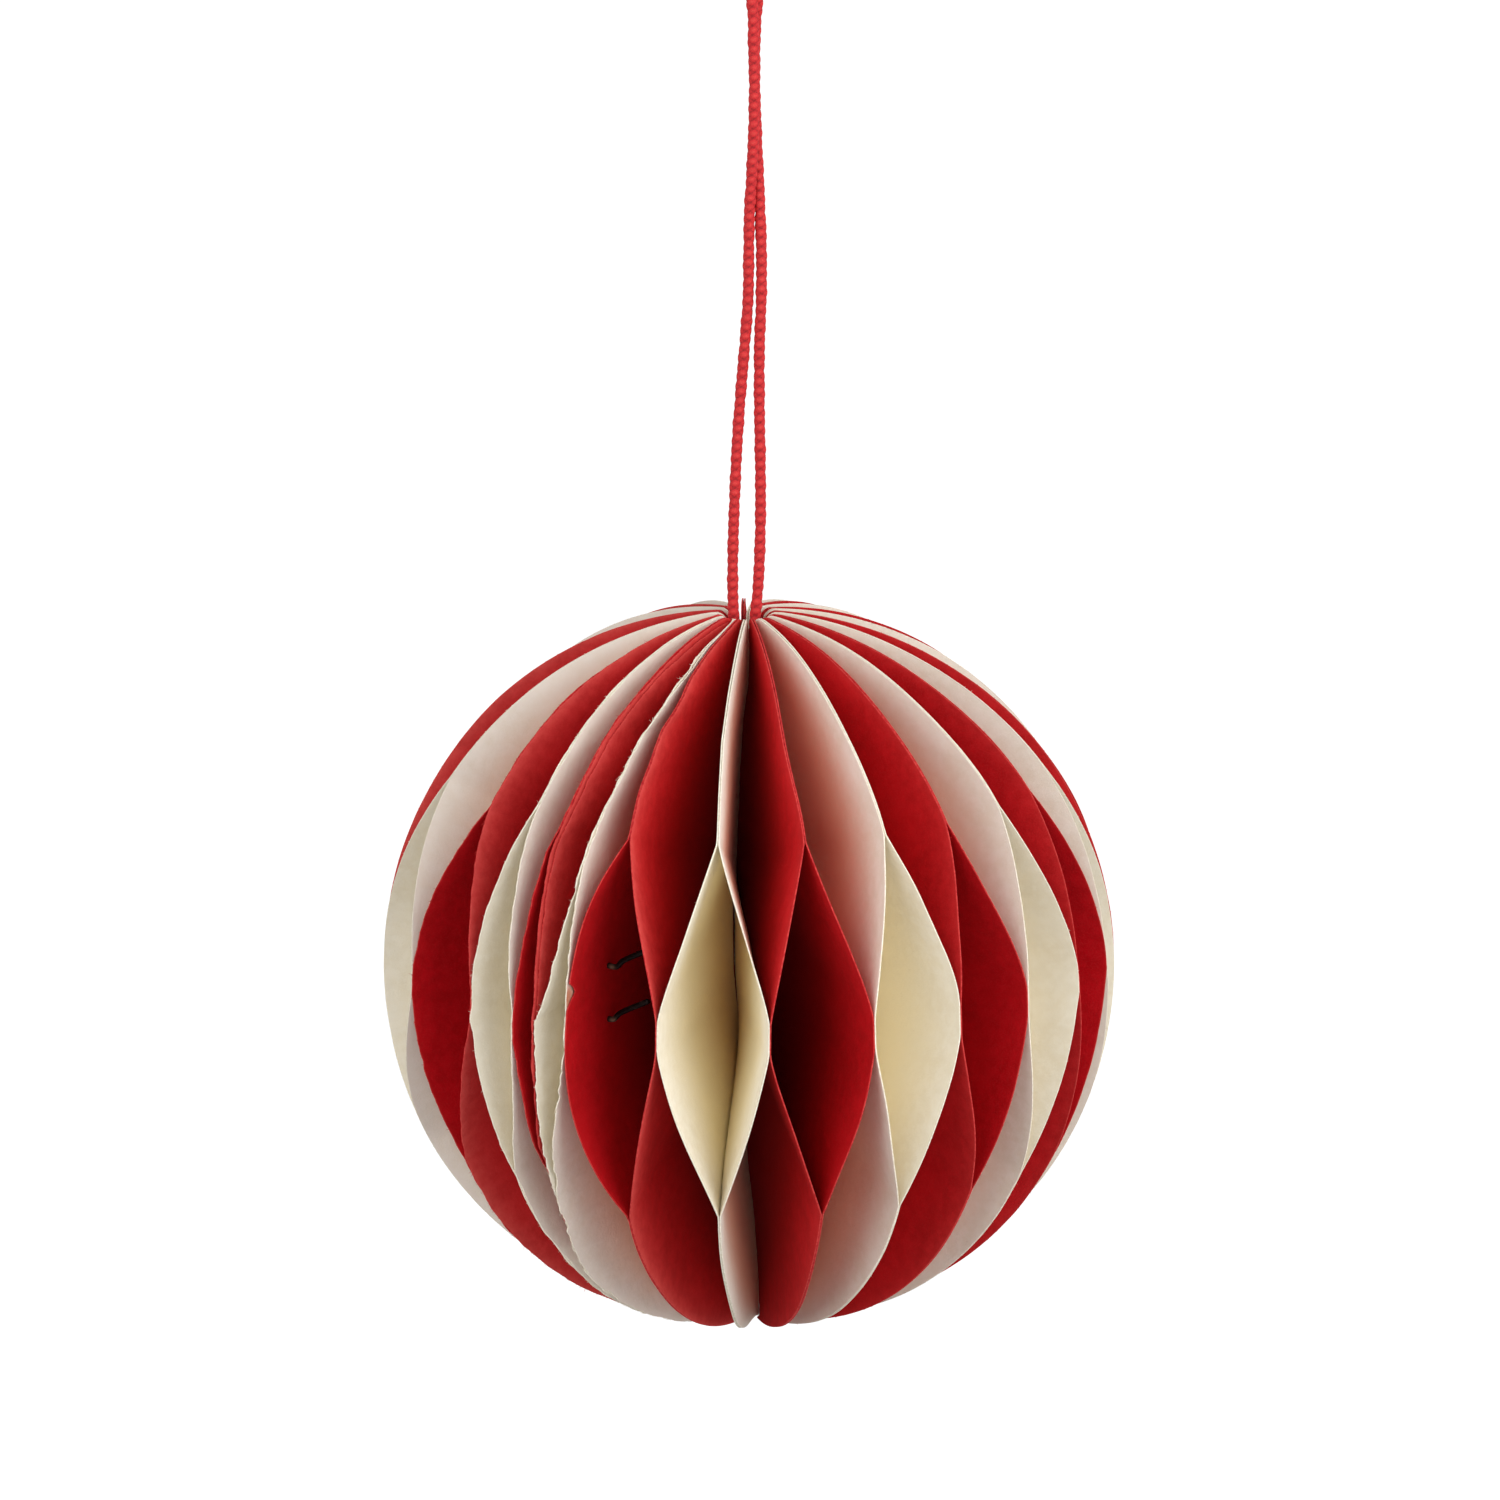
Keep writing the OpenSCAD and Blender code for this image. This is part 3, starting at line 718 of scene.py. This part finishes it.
def leaf_faces(rows, cols, hair_quads, hair_tips):
    """Faces of a leaf and their material numbers: two sides, then the border and its fibres.

    The points are the left side's grid, the right side's, the crest along the rim and the hairs.
    """
    shift, crest_at = rows * cols, 2 * rows * cols
    hairs_at = crest_at + rows
    i, j = np.meshgrid(np.arange(rows - 1), np.arange(cols - 1), indexing="ij")
    a = (i * cols + j).reshape(-1)
    side = np.stack([a, a + cols, a + cols + 1, a + 1], axis=-1)
    i, j = np.arange(rows - 1), np.arange(cols - 1)
    inner, outer, crest, head = i * cols, i * cols + cols - 1, crest_at + i, (rows - 1) * cols + j
    border = [(outer, crest, crest + 1, outer + cols),
              (crest, outer + shift, outer + shift + cols, crest + 1),
              (inner + shift, inner, inner + cols, inner + shift + cols),
              (j + shift, j + shift + 1, j + 1, j),
              (head, head + 1, head + shift + 1, head + shift)]
    quads = [side[:, ::-1], side + shift]
    quads += [np.stack(corners, axis=-1) for corners in border] + [hair_quads + hairs_at]
    faces = np.concatenate(quads).tolist()
    last = rows * cols - 1
    faces.append([cols - 1 + shift, crest_at, cols - 1])
    faces.append([last, hairs_at - 1, last + shift])
    faces.extend((hair_tips + hairs_at).tolist())
    return faces, [0] * (2 * len(side)) + [1] * (len(faces) - 2 * len(side))


def build_leaf(p, k, name, face_material, edge_material):
    """A leaf as a closed sheet with a crest along its rim and loose fibres on it."""
    levels = leaf_levels(p, k)
    steps = CREASED_STEPS if (p, k) in CREASES else STEPS
    middle, normal, rim = leaf_surface(p, k, levels, 1 - (1 - np.linspace(0, 1, steps)) ** 1.5)
    rows, cols = rim.shape

    # At the spine the leaves fill the core's circle, so that nothing is seen through it
    thickness = np.full((rows, cols, 1), SHEET_T)
    thickness[levels < leaf_corner(k), 0] = SPINE_T
    flat = np.zeros((rows, cols, 1))
    offset = np.concatenate([normal * thickness / 2, flat], axis=-1)
    out = middle[:, -1] - middle[:, -2]
    out /= np.linalg.norm(out, axis=-1)[:, None]
    lumps = np.zeros(rows)
    if p in TORN:
        rough = roughness(LUMP_SEED + leaf_number(p, k), LUMP_LENGTH, levels)
        lumps = LUMPS * TORN[p][0] * np.clip(rough - 0.35, 0, 0.5)
    crest = middle[:, -1] + out * (CREST + lumps)[:, None]
    side = np.concatenate([normal, flat], axis=-1)[:, -1]
    hairs, hair_quads, hair_tips = loose_fibres(HAIR_SEED + leaf_number(p, k), crest, out, side,
                                                *HAIRS.get(p, FEW_HAIRS))
    points = np.concatenate([(middle - offset).reshape(-1, 3), (middle + offset).reshape(-1, 3),
                             crest, hairs])

    def spread(left, right, border):
        """One value a point, from grids for the two sides and a number for the border."""
        return np.concatenate([left.reshape(-1), right.reshape(-1),
                               np.full(rows + len(hairs), float(border))])

    # A painted sheen: the outward side is painted paler near the rim, most on the right of a pair's
    # last leaf
    painted_highlight = 0.6 * np.exp(-rim / 3.2) + 0.25 * np.exp(-rim / 0.8)
    left_sheen, right_sheen = (0.25, 0.04) if k == 0 else (0.04, 1)
    # Painted shade behind the notch, where this leaf lies close under the red one
    gap_shade = np.zeros_like(rim)
    if (p, k) == BEHIND_NOTCH:
        gap_shade = (np.exp(-((levels[:, None] - GAP_SHADE_Z) / GAP_SHADE_H) ** 4)
                 * np.exp(-(rim / GAP_SHADE_DEPTH) ** 2))
    faces, numbers = leaf_faces(rows, cols, hair_quads, hair_tips)
    return add_mesh(name, points, faces, [face_material, edge_material], numbers, 45, {
        "rim": spread(rim, rim, 0),
        "painted_sheen": spread(painted_highlight * left_sheen, painted_highlight * right_sheen, 0.5),
        "outside": spread(np.full_like(rim, k == 0), np.full_like(rim, k != 0), 0.5),
        "gap_shade": spread(np.zeros_like(rim), gap_shade, 0)})


for p in range(PAIRS):
    colour, sides, border = (("cream", CREAM, CREAM_EDGE) if p % 2 == 0 else
                             ("red", RED, RED_EDGE))
    for k in (0, 1):
        number = f"{2 * (p // 2) + k + 1:02d}"
        piece = build_leaf(p, k, f"{colour}_sheet_{number}", sides, border)
        put(piece, f"{colour}_leaf_{number}")
closing = build_leaf(CLOSING_PAIR, 2, "red_closing_sheet", RED, RED_EDGE)
put(closing, "red_closing_leaf")


# ---------------------------------------------------------------- staple

STAPLE_WIDTH, STAPLE_LEG, STAPLE_WIRE, STAPLE_TILT = 5.2, 3.6, 0.55, 27
# How far the crown lies behind the leaf's face
CROWN_BACK = 0.55
STAPLE_STEP, STAPLE_SIDES = 0.08, 20
# The last rings at each end of the wire are smaller
STAPLE_ENDS = np.array([0.72, 0.9, 1.0])
# The lower leg's hole, and the directions along the leaf and across it
STAPLE_FOOT = np.array([-13.07, -23.05, 1.5])
STAPLE_ALONG = np.array([-0.505, -0.863, 0])
STAPLE_ACROSS = np.array([0.863, -0.505, 0])
HIGHLIGHT_Y, HIGHLIGHT_R = 0.35, 0.3


def wire_staple():
    """The staple in its own frame: x along the leaf, y across it through both leaves, z up."""
    tilt = math.radians(STAPLE_TILT)
    back = -STAPLE_WIRE / 2 - CROWN_BACK
    bend = [(back, 0.5), (back + 0.15, 0.15), (back + 0.5, 0)]
    tip = [(0, 0), (0.3, 0.2), (0.6, 0.55), (1.2, 0.95),
           (0.8 + STAPLE_LEG * math.cos(tilt), 0.75 + STAPLE_LEG * math.sin(tilt))]
    lower = [(0, 0.25 + y, z) for y, z in tip[::-1]] + [(0, y, z) for y, z in bend[::-1]]
    upper = ([(0, y, STAPLE_WIDTH - z) for y, z in bend]
             + [(0, 0.65 + y, STAPLE_WIDTH + z) for y, z in tip])
    line = smooth_line(lower + upper, STAPLE_STEP)
    radii = np.full((len(line), STAPLE_SIDES), STAPLE_WIRE / 2)
    radii[:3] *= STAPLE_ENDS[:, None]
    radii[-3:] *= STAPLE_ENDS[::-1, None]
    points = tube_points(line, radii, (1, 0, 0)).reshape(-1, 3)
    x, y, z = points[:, :1], points[:, 1:2], points[:, 2:]
    placed = STAPLE_FOOT + x * STAPLE_ALONG + y * STAPLE_ACROSS + z * np.array([0, 0, 1])
    # A painted highlight, dull grey, where the wire comes through the leaf
    painted_highlight = sum(np.exp(-(((y - HIGHLIGHT_Y) / HIGHLIGHT_R) ** 2 + ((z - hole) / HIGHLIGHT_R) ** 2))
               for hole in (0, STAPLE_WIDTH))
    piece = add_mesh("staple_wire", placed, tube_faces(len(line), STAPLE_SIDES), [STEEL],
                     smooth_angle=60, attributes={"painted_highlight": painted_highlight.reshape(-1)})
    put(piece, "wire_staple")


wire_staple()


# ---------------------------------------------------------------- floor, light and sky

FLOOR_SIZE, FLOOR_Z, FLOOR_CELLS = 9.0, -1.3, 6
FLOOR_GLOW, SKY_FILL = 0.86, 0.3
LAMP_SIZE = 1.3
WHITE = (1, 1, 1, 1)


def floor_paper():
    """White paper that the camera sees white where nothing shades it, and that keeps shadows."""
    n = Nodes(bpy.data.materials.new("stage_floor"))
    tone = n.noise(n.add("TexCoord").outputs["Object"], 3.0, 2)
    colour = n.mix(tone, (0.8, 0.8, 0.8, 1), (0.82, 0.82, 0.82, 1))
    diffuse = n.add("BsdfDiffuse", Color=colour)
    glow = n.add("Emission", Color=WHITE, Strength=FLOOR_GLOW)
    black = n.add("Emission", Strength=0.0)
    lit, both = n.add("MixShader"), n.add("AddShader")
    for key, value in enumerate((n.seen_directly(), black.outputs[0], glow.outputs[0])):
        n.set(lit, key, value)
    for key, value in enumerate((diffuse.outputs[0], lit.outputs[0])):
        n.set(both, key, value)
    n.add("OutputMaterial", Surface=both.outputs[0])
    return n.owner


def make_stage():
    side = FLOOR_CELLS + 1
    line = np.linspace(-FLOOR_SIZE, FLOOR_SIZE, side)
    points = [(x, y, FLOOR_Z) for y in line for x in line]
    corners = [j * side + i for j in range(FLOOR_CELLS) for i in range(FLOOR_CELLS)]
    mesh = bpy.data.meshes.new("floor")
    mesh.from_pydata(points, [], [(c, c + 1, c + side + 1, c + side) for c in corners])
    mesh.materials.append(floor_paper())
    floor = bpy.data.objects.new("floor", mesh)
    bpy.context.scene.collection.objects.link(floor)


def lamp(name, place, power):
    """A round soft lamp that faces the ball."""
    data = bpy.data.lights.new(name, "AREA")
    data.shape = "DISK"
    data.size = LAMP_SIZE
    data.energy = power
    light = bpy.data.objects.new(name, data)
    light.location = place
    light.rotation_euler = (-Vector(place)).to_track_quat("-Z", "Y").to_euler()
    bpy.context.scene.collection.objects.link(light)


def make_sky():
    """White for the camera, and an even dim fill on the object."""
    world = bpy.data.worlds.new("sky")
    bpy.context.scene.world = world
    n = Nodes(world)
    fill = n.add("Background", Color=WHITE, Strength=SKY_FILL)
    white = n.add("Background", Color=WHITE, Strength=1.0)
    sky = n.add("MixShader")
    for key, value in enumerate((n.seen_directly(), fill.outputs[0], white.outputs[0])):
        n.set(sky, key, value)
    n.add("OutputWorld", Surface=sky.outputs[0])


make_stage()
lamp("left_box", (-0.68, -0.57, 0.45), 7.4)
lamp("right_box", (0.73, -0.51, 0.45), 11.6)
lamp("low_box", (0.19, -0.91, -0.37), 2.6)
make_sky()
bpy.context.scene.view_settings.view_transform = "Standard"
bpy.context.scene.cycles.diffuse_bounces = 10
